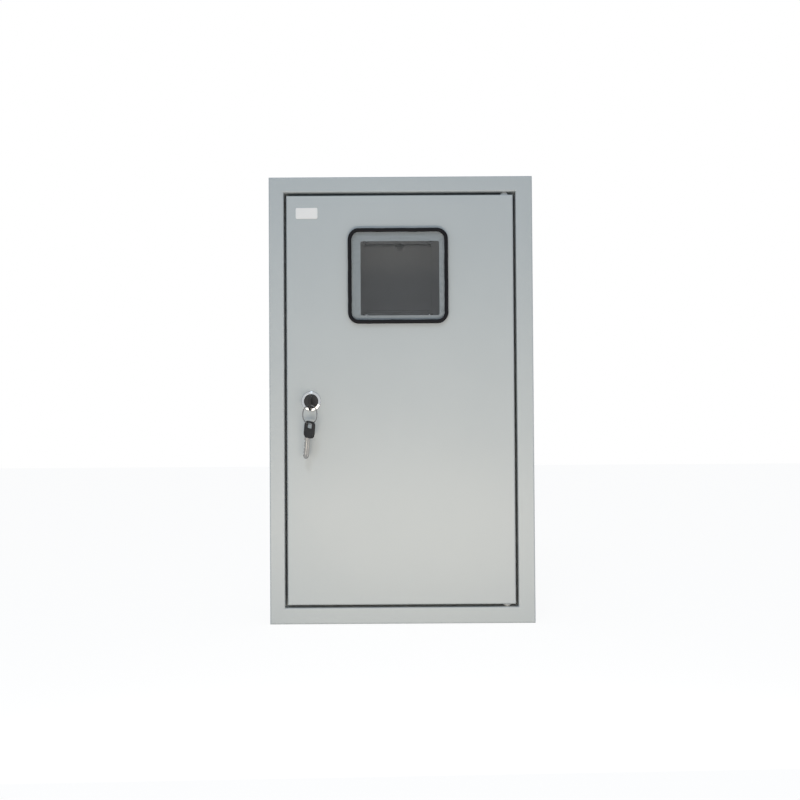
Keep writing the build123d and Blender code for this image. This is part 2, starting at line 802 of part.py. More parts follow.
def rail_brackets():
    """Two hat-shaped brackets that carry the mounting rail."""
    half = plate_sheet / 2
    side = bracket_width / 2
    foot = case_floor - half
    face = bracket_front + half
    pieces = []
    for middle in (-bracket_span / 2, bracket_span / 2):
        path = FilletPolyline(
            (middle - side - bracket_foot, foot),
            (middle - side + half, foot),
            (middle - side + half, face),
            (middle + side - half, face),
            (middle + side - half, foot),
            (middle + side + bracket_foot, foot),
            radius=plate_bend + half,
        )
        section = trace(path, line_width=plate_sheet)
        bracket = column(section, rail_z - bracket_height / 2, rail_z + bracket_height / 2)
        bracket -= rod(screw_thread, bracket_front, bracket_front + plate_sheet, middle, rail_z)
        for x, z in bracket_studs():
            bracket -= rod(screw_thread + screw_play, case_floor - plate_sheet, case_floor, x, z)
        pieces.append(bracket)
    return joined(pieces)


def mounting_rail():
    """Top-hat mounting rail with slots along its web."""
    half = rail_sheet / 2
    lip = bracket_front - rail_depth + half
    web = bracket_front - half
    channel = rail_channel / 2 - half
    path = FilletPolyline(
        (lip, rail_z - rail_width / 2),
        (lip, rail_z - channel),
        (web, rail_z - channel),
        (web, rail_z + channel),
        (lip, rail_z + channel),
        (lip, rail_z + rail_width / 2),
        radius=rail_bend + half,
    )
    section = Plane.YZ.offset(-rail_length / 2) * trace(path, line_width=rail_sheet)
    rail = extrude(section, amount=rail_length)
    slots = rail_slots_between_brackets + 2
    for number in range(slots):
        x = (number - (slots - 1) / 2) * rail_slot_pitch
        slot = Pos(x, rail_z) * SlotOverall(rail_slot_length, rail_slot_width)
        rail -= slab(slot, bracket_front - rail_sheet, bracket_front)
    return rail


def rail_screws():
    """Screws through the rail's slots into its brackets."""
    seat = bracket_front - rail_sheet
    return joined([
        pan_screw(x, rail_z, seat, rail_screw_length) for x in (-bracket_span / 2, bracket_span / 2)
    ])


def terminal_bar(z):
    """Brass bar with a crosswise wire hole and a screw hole for each way."""
    bar = slab(Pos(0, z) * Rectangle(bar_length, bar_width), bar_back - bar_thickness, bar_back)
    bar = chamfer(bar.edges().filter_by(Axis.X), bar_chamfer)
    for x in terminal_places():
        way = Pos(x, bar_back - bar_thickness / 2) * Circle(bar_wire_hole / 2)
        bar -= column(way, z - bar_width, z + bar_width)
        bar -= rod(screw_thread, bar_back - bar_thickness, bar_back - bar_thickness / 2, x, z)
    for x in (-bar_foot_span / 2, bar_foot_span / 2):
        bar -= rod(screw_thread + screw_play, bar_back - bar_thickness, bar_back, x, z)
    return bar


def terminal_places():
    """Places of the ways along a bar."""
    return [(number - (bar_ways - 1) / 2) * bar_pitch for number in range(bar_ways)]


def bar_feet(z):
    """Two moulded insulating feet, each with an ear for its stud and a bore for the end screw."""
    pieces = []
    for side in (-1, 1):
        middle = side * bar_foot_span / 2
        post = slab(Pos(middle, z) * Rectangle(bar_foot_width, bar_foot_width), bar_back, case_floor)
        post = chamfer(post.edges().filter_by(Axis.Y), bar_foot_chamfer)
        ear_x = middle + side * (bar_foot_width + bar_foot_ear) / 2
        ear = Pos(ear_x, z) * Rectangle(bar_foot_ear, bar_foot_width)
        foot = post + slab(ear, case_floor - bar_foot_base, case_floor)
        foot -= rod(screw_thread + screw_play, case_floor - bar_foot_base, case_floor, ear_x, z)
        bore = rod(screw_thread, bar_back, bar_back + bar_screw_depth + bar_bore_past, middle, z)
        pieces.append(foot - bore)
    return joined(pieces)


def terminal_screws():
    """Slotted cheese-head screws of both bars."""
    pieces = []
    seat = bar_back - bar_thickness
    head_back = seat - terminal_screw_lift
    head_front = head_back - terminal_screw_height
    for z in (neutral_bar_z, earth_bar_z):
        for x in terminal_places():
            screw = rod(terminal_screw_head, head_front, head_back, x, z)
            screw += rod(screw_thread - thread_play, head_back, seat + terminal_screw_depth, x, z)
            slot = Pos(x, z) * Rectangle(terminal_screw_head, screw_slot)
            pieces.append(screw - slab(slot, head_front, head_front + terminal_slot_depth))
    return joined(pieces)


def bar_end_screws():
    """Screws that hold the bars on their feet."""
    return joined([
        pan_screw(x, z, bar_back - bar_thickness, bar_thickness + bar_screw_depth)
        for z in (neutral_bar_z, earth_bar_z)
        for x in (-bar_foot_span / 2, bar_foot_span / 2)
    ])


def earth_stud(x, z, seat, length):
    """Threaded stud welded to a sheet, standing forwards or backwards of it along Y."""
    front, back = sorted((seat, seat + length))
    stud = rod(earth_stud_diameter, front, back, x, z)
    return chamfer(rim_circle(stud, seat + length), earth_stud_chamfer)


def earth_nuts(x, z, seat, way):
    """Washer and two nuts on an earth stud. way is -1 towards the front and 1 towards the back."""
    pieces = []
    depth = seat + way * earth_terminal_room
    for flats, height in ((0, earth_washer_height), (earth_nut_flats, earth_nut_height)):
        front, back = sorted((depth, depth + way * height))
        outline = hexagon(flats) if flats else Circle(earth_washer / 2)
        outline -= Circle(earth_stud_diameter / 2 + running_clearance)
        pieces.append(slab(Pos(x, z) * outline, front, back))
        depth += way * height
    return joined(pieces)


def write(name, shape):
    """One STEP file for one named piece."""
    export_step(shape, "parts/" + name + ".step")


os.makedirs("parts", exist_ok=True)

write("case_shell", case_shell())
write("corner_brackets", corner_brackets())
write("clinch_nuts", clinch_nuts())
write("wall_lugs", wall_lugs())
write("front_frame", front_frame())
write("frame_screws", frame_screws())
write("hinge_pin_top", hinge_pin(1))
write("hinge_pin_bottom", hinge_pin(-1))

write("meter_plate", meter_plate())
write("mounting_rail", mounting_rail())
write("rail_brackets", rail_brackets())
write("rail_screws", rail_screws())
write("weld_studs", weld_studs())
write("stud_nuts", stud_nuts())
write("neutral_bar", terminal_bar(neutral_bar_z))
write("earth_bar", terminal_bar(earth_bar_z))
write("neutral_bar_feet", bar_feet(neutral_bar_z))
write("earth_bar_feet", bar_feet(earth_bar_z))
write("terminal_screws", terminal_screws())
write("bar_end_screws", bar_end_screws())
write("case_earth_stud", earth_stud(case_earth_x, case_earth_z, case_floor, -earth_stud_length))
write("case_earth_nuts", earth_nuts(case_earth_x, case_earth_z, case_floor, -1))

write("door_panel", door_panel())
write("hinge_bush_top", hinge_bush(1))
write("hinge_bush_bottom", hinge_bush(-1))
write("window_gasket", window_gasket())
write("window_lens", window_lens())
write("badge_plate", badge_plate())
write("lock_housing", lock_housing())
write("lock_nut", lock_nut())
write("door_earth_stud", earth_stud(door_earth_x, door_earth_z, door_rear, door_earth_length))
write("door_earth_nuts", earth_nuts(door_earth_x, door_earth_z, door_rear, 1))

write("lock_plug", lock_plug())
write("lock_cam", lock_cam())
write("cam_screw", cam_screw())
write("lock_key_blade", lock_key_plane * key_blade())
write("lock_key_head", lock_key_plane * key_head())
write("key_ring", key_ring())
write("spare_key_blade", spare_key_plane * key_blade())
write("spare_key_head", spare_key_plane * key_head())
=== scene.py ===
import json
import math

import bmesh
import bpy
import numpy as np
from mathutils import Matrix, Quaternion, Vector


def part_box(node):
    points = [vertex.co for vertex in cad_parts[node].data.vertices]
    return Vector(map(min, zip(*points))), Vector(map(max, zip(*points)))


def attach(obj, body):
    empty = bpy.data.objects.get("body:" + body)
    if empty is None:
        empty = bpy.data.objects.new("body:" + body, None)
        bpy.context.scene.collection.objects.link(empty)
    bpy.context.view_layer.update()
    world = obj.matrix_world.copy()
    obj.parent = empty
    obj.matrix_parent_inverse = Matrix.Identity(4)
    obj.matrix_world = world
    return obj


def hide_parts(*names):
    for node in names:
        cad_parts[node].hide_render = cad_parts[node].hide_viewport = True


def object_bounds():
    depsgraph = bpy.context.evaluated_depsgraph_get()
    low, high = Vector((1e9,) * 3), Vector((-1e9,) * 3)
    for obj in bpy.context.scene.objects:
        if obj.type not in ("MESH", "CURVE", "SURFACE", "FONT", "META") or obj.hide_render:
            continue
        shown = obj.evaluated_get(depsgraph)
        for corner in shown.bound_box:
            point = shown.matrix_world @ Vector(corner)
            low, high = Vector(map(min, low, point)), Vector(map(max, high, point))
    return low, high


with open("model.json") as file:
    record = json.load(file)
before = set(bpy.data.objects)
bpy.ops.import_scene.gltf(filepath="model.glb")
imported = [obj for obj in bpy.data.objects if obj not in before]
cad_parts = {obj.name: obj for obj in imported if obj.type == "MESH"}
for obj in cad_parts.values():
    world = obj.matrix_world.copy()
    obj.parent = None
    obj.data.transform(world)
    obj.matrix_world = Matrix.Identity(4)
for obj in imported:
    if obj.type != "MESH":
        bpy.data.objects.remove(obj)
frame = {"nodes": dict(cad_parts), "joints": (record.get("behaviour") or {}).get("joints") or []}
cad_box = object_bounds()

mm = 0.001
nodes = frame["nodes"]
joints = {joint["name"]: joint for joint in frame["joints"]}


# The camera stands a little below the middle of the enclosure, 1.2 m in front of its flange, and looks at
# the door opening. One photograph pixel is 1.14 mm there.
view_distance = 1.2
view_elevation = math.radians(-1.1)
view_roll = math.radians(-0.36)
view_width = 911.7 * mm
flange_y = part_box("front_frame")[0].y
view_target = Vector((-0.8 * mm, flange_y, -1.3 * mm))

camera_data = bpy.data.cameras.new("camera")
camera_data.sensor_width = 36.0
camera_data.lens = camera_data.sensor_width * view_distance / view_width
camera = bpy.data.objects.new("camera", camera_data)
bpy.context.scene.collection.objects.link(camera)
towards = Vector((0, math.cos(view_elevation), -math.sin(view_elevation)))
camera.location = view_target - towards * view_distance
camera.rotation_mode = "QUATERNION"
camera.rotation_quaternion = towards.to_track_quat("-Z", "Y") @ Quaternion((0, 0, 1), view_roll)
bpy.context.scene.camera = camera
bpy.context.scene.view_settings.view_transform = "Standard"


# The studio: a pale floor that the enclosure stands on, a white room that only the eye and shiny surfaces
# see at full strength, one soft, slightly cool lamp high in front and a warmer, weaker one low in front.
def add(tree, kind, inputs=None, **settings):
    """One node of a kind, with its settings, and its inputs linked to sockets or set to values."""
    node = tree.nodes.new(kind)
    for label, value in settings.items():
        setattr(node, label, value)
    for label, value in (inputs or {}).items():
        if isinstance(value, bpy.types.NodeSocket):
            tree.links.new(value, node.inputs[label])
        else:
            node.inputs[label].default_value = value
    return node


def seen_directly(tree):
    """1 for rays from the camera, off shiny surfaces and through clear ones that no matt surface has
    scattered before, otherwise 0."""
    path = add(tree, "ShaderNodeLightPath")
    first = add(tree, "ShaderNodeMath", {0: path.outputs["Is Camera Ray"], 1: path.outputs["Is Glossy Ray"]},
                operation="MAXIMUM")
    either = add(tree, "ShaderNodeMath", {0: first.outputs[0], 1: path.outputs["Is Transmission Ray"]},
                 operation="MAXIMUM")
    unscattered = add(tree, "ShaderNodeMath", {0: path.outputs["Diffuse Depth"], 1: 0.5}, operation="LESS_THAN")
    both = add(tree, "ShaderNodeMath", {0: either.outputs[0], 1: unscattered.outputs[0]}, operation="MULTIPLY")
    return both.outputs[0]


world = bpy.data.worlds.new("white_room")
world.use_nodes = True
world.node_tree.nodes.clear()
room_light = add(world.node_tree, "ShaderNodeBackground", {"Color": (0.86, 0.97, 1.10, 1), "Strength": 0.42})
room_white = add(world.node_tree, "ShaderNodeBackground", {"Color": (1, 1, 1, 1), "Strength": 1.0})
room = add(world.node_tree, "ShaderNodeMixShader",
           {0: seen_directly(world.node_tree), 1: room_light.outputs[0], 2: room_white.outputs[0]})
add(world.node_tree, "ShaderNodeOutputWorld", {"Surface": room.outputs[0]})
bpy.context.scene.world = world

floor_side = 8.0
floor_z = cad_box[0][2] - 0.2 * mm
floor_mesh = bpy.data.meshes.new("floor")
floor_mesh.from_pydata(
    [(x * floor_side / 2, y * floor_side / 2, floor_z) for x, y in ((-1, -1), (1, -1), (1, 1), (-1, 1))],
    [], [(0, 1, 2, 3)])
floor = bpy.data.objects.new("floor", floor_mesh)
bpy.context.scene.collection.objects.link(floor)
floor_paper = bpy.data.materials.new("floor_paper")
floor_paper.use_nodes = True
floor_tree = floor_paper.node_tree
floor_tree.nodes.clear()
paper_place = add(floor_tree, "ShaderNodeTexCoord").outputs["Object"]
paper_fibre = add(floor_tree, "ShaderNodeTexNoise", {"Vector": paper_place, "Scale": 300.0, "Detail": 3.0})
paper_colour = add(floor_tree, "ShaderNodeValToRGB", {"Fac": paper_fibre.outputs["Fac"]})
paper_colour.color_ramp.elements[0].color = (0.80, 0.80, 0.795, 1)
paper_colour.color_ramp.elements[1].color = (0.84, 0.84, 0.835, 1)
paper_matte = add(floor_tree, "ShaderNodeBsdfDiffuse", {"Color": paper_colour.outputs["Color"]})
paper_white = add(floor_tree, "ShaderNodeEmission", {"Color": (1, 1, 1, 1), "Strength": 1.08})
paper_share = add(floor_tree, "ShaderNodeMath", {0: seen_directly(floor_tree), 1: 0.85}, operation="MULTIPLY")
paper = add(floor_tree, "ShaderNodeMixShader",
            {0: paper_share.outputs[0], 1: paper_matte.outputs[0], 2: paper_white.outputs[0]})
add(floor_tree, "ShaderNodeOutputMaterial", {"Surface": paper.outputs[0]})
floor_mesh.materials.append(floor_paper)


def soft_lamp(name, place, width, height, watts, colour):
    """Area lamp at a place, facing the enclosure's middle."""
    lamp = bpy.data.lights.new(name, "AREA")
    lamp.shape = "RECTANGLE"
    lamp.size = width
    lamp.size_y = height
    lamp.energy = watts
    lamp.color = colour
    holder = bpy.data.objects.new(name, lamp)
    bpy.context.scene.collection.objects.link(holder)
    holder.location = place
    holder.visible_camera = False
    holder.rotation_mode = "QUATERNION"
    holder.rotation_quaternion = (Vector((0, flange_y, 0)) - Vector(place)).to_track_quat("-Z", "Y")


soft_lamp("lamp_high_front", (-0.25, -1.45, 1.35), 0.35, 0.35, 5.4, (0.80, 0.91, 1.0))
soft_lamp("lamp_low_front", (0.02, -0.68, -0.205), 0.6, 0.09, 1.72, (1.0, 0.86, 0.70))


# The case shell: one sheet of 1.2 mm steel folded into a tub, with lugs welded to its sides, and the meter
# plate inside it. All are powder coated: orange peel, slow mottling, and dust on what faces up. The plate's
# coat is given in a darker grey than the rest, which is painted shade for the dim inside of the closed case.
def new_group(name, inputs, outputs):
    """Empty shader node group with number inputs, outputs of given kinds, and its two end nodes."""
    group = bpy.data.node_groups.new(name, "ShaderNodeTree")
    for label, value in inputs.items():
        group.interface.new_socket(label, in_out="INPUT", socket_type="NodeSocketFloat").default_value = value
    for label, kind in outputs.items():
        group.interface.new_socket(label, in_out="OUTPUT", socket_type=kind)
    return group, group.nodes.new("NodeGroupInput"), group.nodes.new("NodeGroupOutput")


def coat_texture_group():
    """Group: orange peel and fine grain as a normal; slow mottling, dust on upper faces and small nibs in
    the coat as values."""
    group, given, result = new_group(
        "coat_texture",
        {"Peel Scale": 650.0, "Peel": 0.25, "Grain Scale": 3800.0, "Grain": 0.1, "Mottle Scale": 9.0},
        {"Mottle": "NodeSocketFloat", "Dust": "NodeSocketFloat", "Nib": "NodeSocketFloat",
         "Normal": "NodeSocketVector"})
    place = add(group, "ShaderNodeTexCoord").outputs["Object"]
    peel = add(group, "ShaderNodeTexNoise",
               {"Vector": place, "Scale": given.outputs["Peel Scale"], "Detail": 1.5})
    grain = add(group, "ShaderNodeTexNoise",
                {"Vector": place, "Scale": given.outputs["Grain Scale"], "Detail": 2.0})
    mottle = add(group, "ShaderNodeTexNoise",
                 {"Vector": place, "Scale": given.outputs["Mottle Scale"], "Detail": 4.0, "Roughness": 0.6})
    peel_bump = add(group, "ShaderNodeBump",
                    {"Height": peel.outputs["Fac"], "Strength": given.outputs["Peel"], "Distance": 0.12 * mm})
    grain_bump = add(group, "ShaderNodeBump",
                     {"Height": grain.outputs["Fac"], "Strength": given.outputs["Grain"],
                      "Distance": 0.03 * mm, "Normal": peel_bump.outputs["Normal"]})
    facing = add(group, "ShaderNodeSeparateXYZ", {0: add(group, "ShaderNodeNewGeometry").outputs["Normal"]})
    upward = add(group, "ShaderNodeMapRange", {"Value": facing.outputs["Z"], "From Min": 0.3, "From Max": 1.0})
    settled = add(group, "ShaderNodeTexNoise",
                  {"Vector": place, "Scale": 60.0, "Detail": 6.0, "Roughness": 0.7})
    dust = add(group, "ShaderNodeMath", {0: upward.outputs[0], 1: settled.outputs["Fac"]}, operation="MULTIPLY")
    dots = add(group, "ShaderNodeTexVoronoi", {"Vector": place, "Scale": 55.0, "Randomness": 1.0})
    nib = add(group, "ShaderNodeMapRange", {"Value": dots.outputs["Distance"], "From Min": 0.022,
                                            "From Max": 0.012})
    for label, socket in (("Mottle", mottle.outputs["Fac"]), ("Dust", dust.outputs[0]),
                          ("Nib", nib.outputs[0]), ("Normal", grain_bump.outputs["Normal"])):
        group.links.new(socket, result.inputs[label])
    return group


coat_texture = coat_texture_group()


def texture(tree, group, **values):
    """A texture group placed in a material, with its own values."""
    node = add(tree, "ShaderNodeGroup", node_tree=group)
    for label, value in values.items():
        node.inputs[label.replace("_", " ").title()].default_value = value
    return node


def finish_material(name, roughness, metallic=0.0, specular=0.5):
    """A material with one principled shader, and its node tree."""
    material = bpy.data.materials.new(name)
    material.use_nodes = True
    tree = material.node_tree
    shader = tree.nodes["Principled BSDF"]
    shader.inputs["Roughness"].default_value = roughness
    shader.inputs["Metallic"].default_value = metallic
    shader.inputs["Specular IOR Level"].default_value = specular
    return material, tree, shader


def toned(tree, amount, dark, light):
    """Colour between two tones by an amount that changes over the surface."""
    mix = add(tree, "ShaderNodeMix", data_type="RGBA")
    tree.links.new(amount, mix.inputs["Factor"])
    mix.inputs["A"].default_value = (*dark, 1)
    mix.inputs["B"].default_value = (*light, 1)
    return mix.outputs["Result"]


def spread(tree, amount, low, high):
    """A value between low and high by an amount that changes over the surface."""
    return add(tree, "ShaderNodeMapRange", {"Value": amount, "From Min": 0.25, "From Max": 0.75,
                                            "To Min": low, "To Max": high}).outputs[0]


def covered(tree, below, amount, share, above):
    """Colour below, covered by a plain colour by a share of the amount."""
    mix = add(tree, "ShaderNodeMix", data_type="RGBA")
    part = add(tree, "ShaderNodeMath", {0: amount, 1: share}, operation="MULTIPLY")
    tree.links.new(part.outputs[0], mix.inputs["Factor"])
    tree.links.new(below, mix.inputs["A"])
    mix.inputs["B"].default_value = (*above, 1)
    return mix.outputs["Result"]


def powder_coat(name, dark, light, peel):
    """Powder-coated steel: satin grey with orange peel, mottled gloss, a few nibs and a trace of dust."""
    material, tree, shader = finish_material(name, 0.42)
    coat = texture(tree, coat_texture, peel=peel)
    colour = toned(tree, coat.outputs["Mottle"], dark, light)
    colour = covered(tree, colour, coat.outputs["Nib"], 0.35, (0.36, 0.37, 0.37))
    colour = covered(tree, colour, coat.outputs["Dust"], 0.22, (0.60, 0.585, 0.55))
    tree.links.new(colour, shader.inputs["Base Color"])
    tree.links.new(spread(tree, coat.outputs["Mottle"], 0.36, 0.48), shader.inputs["Roughness"])
    tree.links.new(coat.outputs["Normal"], shader.inputs["Normal"])
    return material


def dress(names, material):
    """The same material on several CAD nodes."""
    for name in names:
        nodes[name].data.materials.clear()
        nodes[name].data.materials.append(material)


case_coat = powder_coat("case_coat", (0.475, 0.505, 0.515), (0.525, 0.555, 0.56), 0.35)
dress(["case_shell", "wall_lugs"], case_coat)
# The plate's dark grey is painted shade: it is darker than its coat and stands in for the dim light inside the
# closed case.
dress(["meter_plate"], powder_coat("plate_coat_painted_shade", (0.26, 0.27, 0.28), (0.31, 0.32, 0.325), 0.35))


# The front frame and the door: folded from the same sheet and coated with the same powder, with a smoother
# surface than the case because they are what shows.
front_coat = powder_coat("front_coat", (0.485, 0.52, 0.53), (0.525, 0.56, 0.565), 0.22)
dress(["front_frame", "door_panel"], front_coat)


# Corner brackets, mounting rail, rail brackets and the lock's cam: rolled steel with zinc plating, which
# shows the rolling direction as faint streaks, and cloudy patches where the passivation is thicker.
def plating_texture_group():
    """Group: streaks along X, clouds and their roughness as values, and the streaks as a normal."""
    group, given, result = new_group(
        "plating_texture",
        {"Streak": 0.2, "Cloud Scale": 35.0},
        {"Cloud": "NodeSocketFloat", "Streaks": "NodeSocketFloat", "Normal": "NodeSocketVector"})
    place = add(group, "ShaderNodeTexCoord").outputs["Object"]
    drawn = add(group, "ShaderNodeMapping", {"Vector": place, "Scale": (12.0, 900.0, 900.0)})
    streak = add(group, "ShaderNodeTexNoise", {"Vector": drawn.outputs[0], "Scale": 3.0, "Detail": 4.0})
    cloud = add(group, "ShaderNodeTexNoise",
                {"Vector": place, "Scale": given.outputs["Cloud Scale"], "Detail": 5.0, "Roughness": 0.65})
    bump = add(group, "ShaderNodeBump", {"Height": streak.outputs["Fac"], "Strength": given.outputs["Streak"],
                                         "Distance": 0.04 * mm})
    for label, socket in (("Cloud", cloud.outputs["Fac"]), ("Streaks", streak.outputs["Fac"]),
                          ("Normal", bump.outputs["Normal"])):
        group.links.new(socket, result.inputs[label])
    return group


plating_texture = plating_texture_group()


def plated(name, dark, light, smooth, dull, streak=0.2):
    """Plated or drawn metal: cloudy colour and gloss with streaks along its length."""
    material, tree, shader = finish_material(name, smooth, 1.0)
    skin = texture(tree, plating_texture, streak=streak)
    tree.links.new(toned(tree, skin.outputs["Cloud"], dark, light), shader.inputs["Base Color"])
    tree.links.new(spread(tree, skin.outputs["Streaks"], smooth, dull), shader.inputs["Roughness"])
    tree.links.new(skin.outputs["Normal"], shader.inputs["Normal"])
    return material


sheet_zinc = plated("sheet_zinc", (0.50, 0.51, 0.50), (0.62, 0.63, 0.62), 0.34, 0.5)
dress(["corner_brackets", "mounting_rail", "rail_brackets", "lock_cam"], sheet_zinc)


# The fasteners: headed pins, cross-recessed screws, studs with rolled threads, and chamfered hexagon nuts
# and washers on them, all in bright zinc.
bolt_zinc = plated("bolt_zinc", (0.56, 0.57, 0.56), (0.70, 0.71, 0.69), 0.22, 0.36)
dress(["clinch_nuts", "frame_screws", "rail_screws", "bar_end_screws", "hinge_pin_top", "hinge_pin_bottom"],
      bolt_zinc)


def surface(name, body, material, grids, sharp=35.0):
    """One mesh from grids of points, each rows by columns by 3, whose neighbours are joined by quads. The
    columns of a grid run round to the first again, and so do its rows where the grid comes with True."""
    points, quads, start = [], [], 0
    for grid, rows_round in grids:
        rows, columns = grid.shape[:2]
        index = start + np.arange(rows * columns).reshape(rows, columns)
        index = np.hstack([index, index[:, :1]])
        if rows_round:
            index = np.vstack([index, index[:1]])
        four = (index[:-1, :-1], index[1:, :-1], index[1:, 1:], index[:-1, 1:])
        quads.append(np.stack(four, axis=-1).reshape(-1, 4))
        points.append(grid.reshape(-1, 3))
        start += rows * columns
    points = np.vstack(points)
    quads = np.vstack(quads)
    mesh = bpy.data.meshes.new(name)
    mesh.vertices.add(len(points))
    mesh.vertices.foreach_set("co", points.astype(np.float32).ravel())
    mesh.loops.add(quads.size)
    mesh.loops.foreach_set("vertex_index", quads.astype(np.int32).ravel())
    mesh.polygons.add(len(quads))
    mesh.polygons.foreach_set("loop_start", np.arange(0, quads.size, 4, dtype=np.int32))
    mesh.update(calc_edges=True)
    work = bmesh.new()
    work.from_mesh(mesh)
    bmesh.ops.remove_doubles(work, verts=work.verts, dist=0.002 * mm)
    bmesh.ops.recalc_face_normals(work, faces=work.faces)
    work.to_mesh(mesh)
    work.free()
    mesh.shade_smooth()
    mesh.set_sharp_from_angle(angle=math.radians(sharp))
    mesh.materials.append(material)
    piece = bpy.data.objects.new(name, mesh)
    bpy.context.scene.collection.objects.link(piece)
    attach(piece, body)
    return piece


def stands_for(piece, node):
    """The piece replaces a CAD node, which is hidden."""
    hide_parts(node)


def solids_of(node):
    """The lowest and highest corner of each separate solid of a CAD node. Corners of triangles at one place
    share a number, and each triangle hands its lowest number to its corners until none changes."""
    mesh = nodes[node].data
    places = np.empty(len(mesh.vertices) * 3)
    mesh.vertices.foreach_get("co", places)
    places = places.reshape(-1, 3)
    triangles = np.empty(len(mesh.loops), np.int32)
    mesh.loops.foreach_get("vertex_index", triangles)
    shared = np.unique(np.round(places / (0.001 * mm)), axis=0, return_inverse=True)[1].ravel()
    triangles = shared[triangles].reshape(-1, 3)
    number = np.arange(shared.max() + 1)
    while True:
        lower = number.copy()
        np.minimum.at(lower, triangles.ravel(), np.repeat(number[triangles].min(axis=1), 3))
        lower = lower[lower]
        if (lower == number).all():
            break
        number = lower
    owner = number[shared]
    return [(places[owner == one].min(axis=0), places[owner == one].max(axis=0)) for one in np.unique(owner)]


def round_bar(radii, depths, x, z):
    """Points round a line along Y at (x, z): each row's radius, one number or one for each angle, times
    the cosine and sine of the angle, at the row's depth."""
    radii = np.asarray(radii)
    angle = np.linspace(0, 2 * np.pi, radii.shape[1], endpoint=False)
    depths = np.repeat(np.asarray(depths)[:, None], radii.shape[1], axis=1)
    return np.stack([x + radii * np.cos(angle), depths, z + radii * np.sin(angle)], axis=-1)


def turned(profile, x, z, turns=48):
    """Profile of (radius, depth) pairs turned about a line along Y."""
    profile = np.array(profile)
    return round_bar(np.repeat(profile[:, :1], turns, axis=1), profile[:, 1], x, z)


def thread(radius, pitch, height, front, back, x, z, turns=36, flats=None):
    """Thread along Y: the radius falls and rises once a pitch, turned on by the angle, so that the ridge
    winds round the bar, and fades into a bevel at both ends. Flats cut it at their distance from the middle
    over the cosine of the angle."""
    angle = np.linspace(0, 2 * np.pi, turns, endpoint=False)
    depths = np.linspace(front, back, int(round((back - front) / pitch * 8)) + 1)
    wave = np.abs((depths[:, None] / pitch + angle / (2 * np.pi)) % 1.0 - 0.5) * 2
    bevel = np.clip(pitch - np.minimum(depths - front, back - depths)[:, None], 0, pitch) * 0.6
    around = radius - height * wave - bevel
    if flats:
        around = np.minimum(around, flats / 2 / np.maximum(np.abs(np.cos(angle)), 1e-6))
    return round_bar(around, depths, x, z)


def threaded_studs(name, body, node, pitch):
    """Threaded bars, closed at both ends, in the places of a CAD node's round bars."""
    grids = []
    for low, high in solids_of(node):
        x, z = (low[0] + high[0]) / 2, (low[2] + high[2]) / 2
        bar = thread((high[0] - low[0]) / 2, pitch, pitch * 0.45, low[1], high[1], x, z)
        ends = [turned([(0, depth)], x, z, bar.shape[1]) for depth in (low[1], high[1])]
        grids.append((np.concatenate([ends[0], bar, ends[1]]), False))
    stands_for(surface(name, body, bolt_zinc, grids, 50.0), node)


threaded_studs("welded_studs_threaded", "case", "weld_studs", 0.7 * mm)
threaded_studs("case_earth_stud_threaded", "case", "case_earth_stud", 1.0 * mm)
threaded_studs("door_earth_stud_threaded", "door", "door_earth_stud", 1.0 * mm)


def hexagon_nut(front, back, flats, bore, x, z):
    """Hexagon with corners at the sides, whose radius is half the flats over the cosine of the angle from
    the nearest flat, and is no more than a cone's at each end, which gives the curved chamfer. A bore closes
    it inside, or a point at each end where it has none."""
    turns = 72
    chamfer_depth = flats * 0.09
    end_radius = flats * 0.475
    cone_slope = 1.7
    angle = np.linspace(0, 2 * np.pi, turns, endpoint=False)
    corner = flats / 2 / np.cos(angle % (np.pi / 3) - np.pi / 6)
    rise = np.linspace(0, 1, 5)[:, None] * chamfer_depth
    cone = end_radius + rise * cone_slope
    side = np.minimum(corner, cone)
    inner = np.full((1, turns), bore / 2)
    radii = np.concatenate([inner, side, side[::-1], inner])
    depths = np.concatenate([[front], front + rise[:, 0], back - rise[::-1, 0], [back]])
    return round_bar(radii, depths, x, z), bore > 0


def washer(front, back, diameter, bore, x, z):
    """Flat ring with slightly rounded outer edges."""
    edge = 0.3 * mm
    outer = diameter / 2
    return turned([(bore / 2, front), (outer - edge, front), (outer, front + edge), (outer, back - edge),
                   (outer - edge, back), (bore / 2, back)], x, z), True


def nuts_on(name, body, node, bore):
    """Hexagon nuts, and washers where a solid is round, in the places of a CAD node's solids."""
    grids = []
    for low, high in solids_of(node):
        x, z = (low[0] + high[0]) / 2, (low[2] + high[2]) / 2
        across, tall = high[0] - low[0], high[2] - low[2]
        shape = hexagon_nut if across > tall * 1.05 else washer
        grids.append(shape(low[1], high[1], tall, bore, x, z))
    stands_for(surface(name, body, bolt_zinc, grids, 28.0), node)


stud_nut_bore = 3.9 * mm
earth_nut_bore = 6.0 * mm
lock_nut_bore = 18.4 * mm
nuts_on("hexagon_nuts", "case", "stud_nuts", stud_nut_bore)
nuts_on("case_earth_nut_and_washer", "case", "case_earth_nuts", earth_nut_bore)
nuts_on("door_earth_nut_and_washer", "door", "door_earth_nuts", earth_nut_bore)
nuts_on("lock_hexagon_nut", "door", "lock_nut", lock_nut_bore)


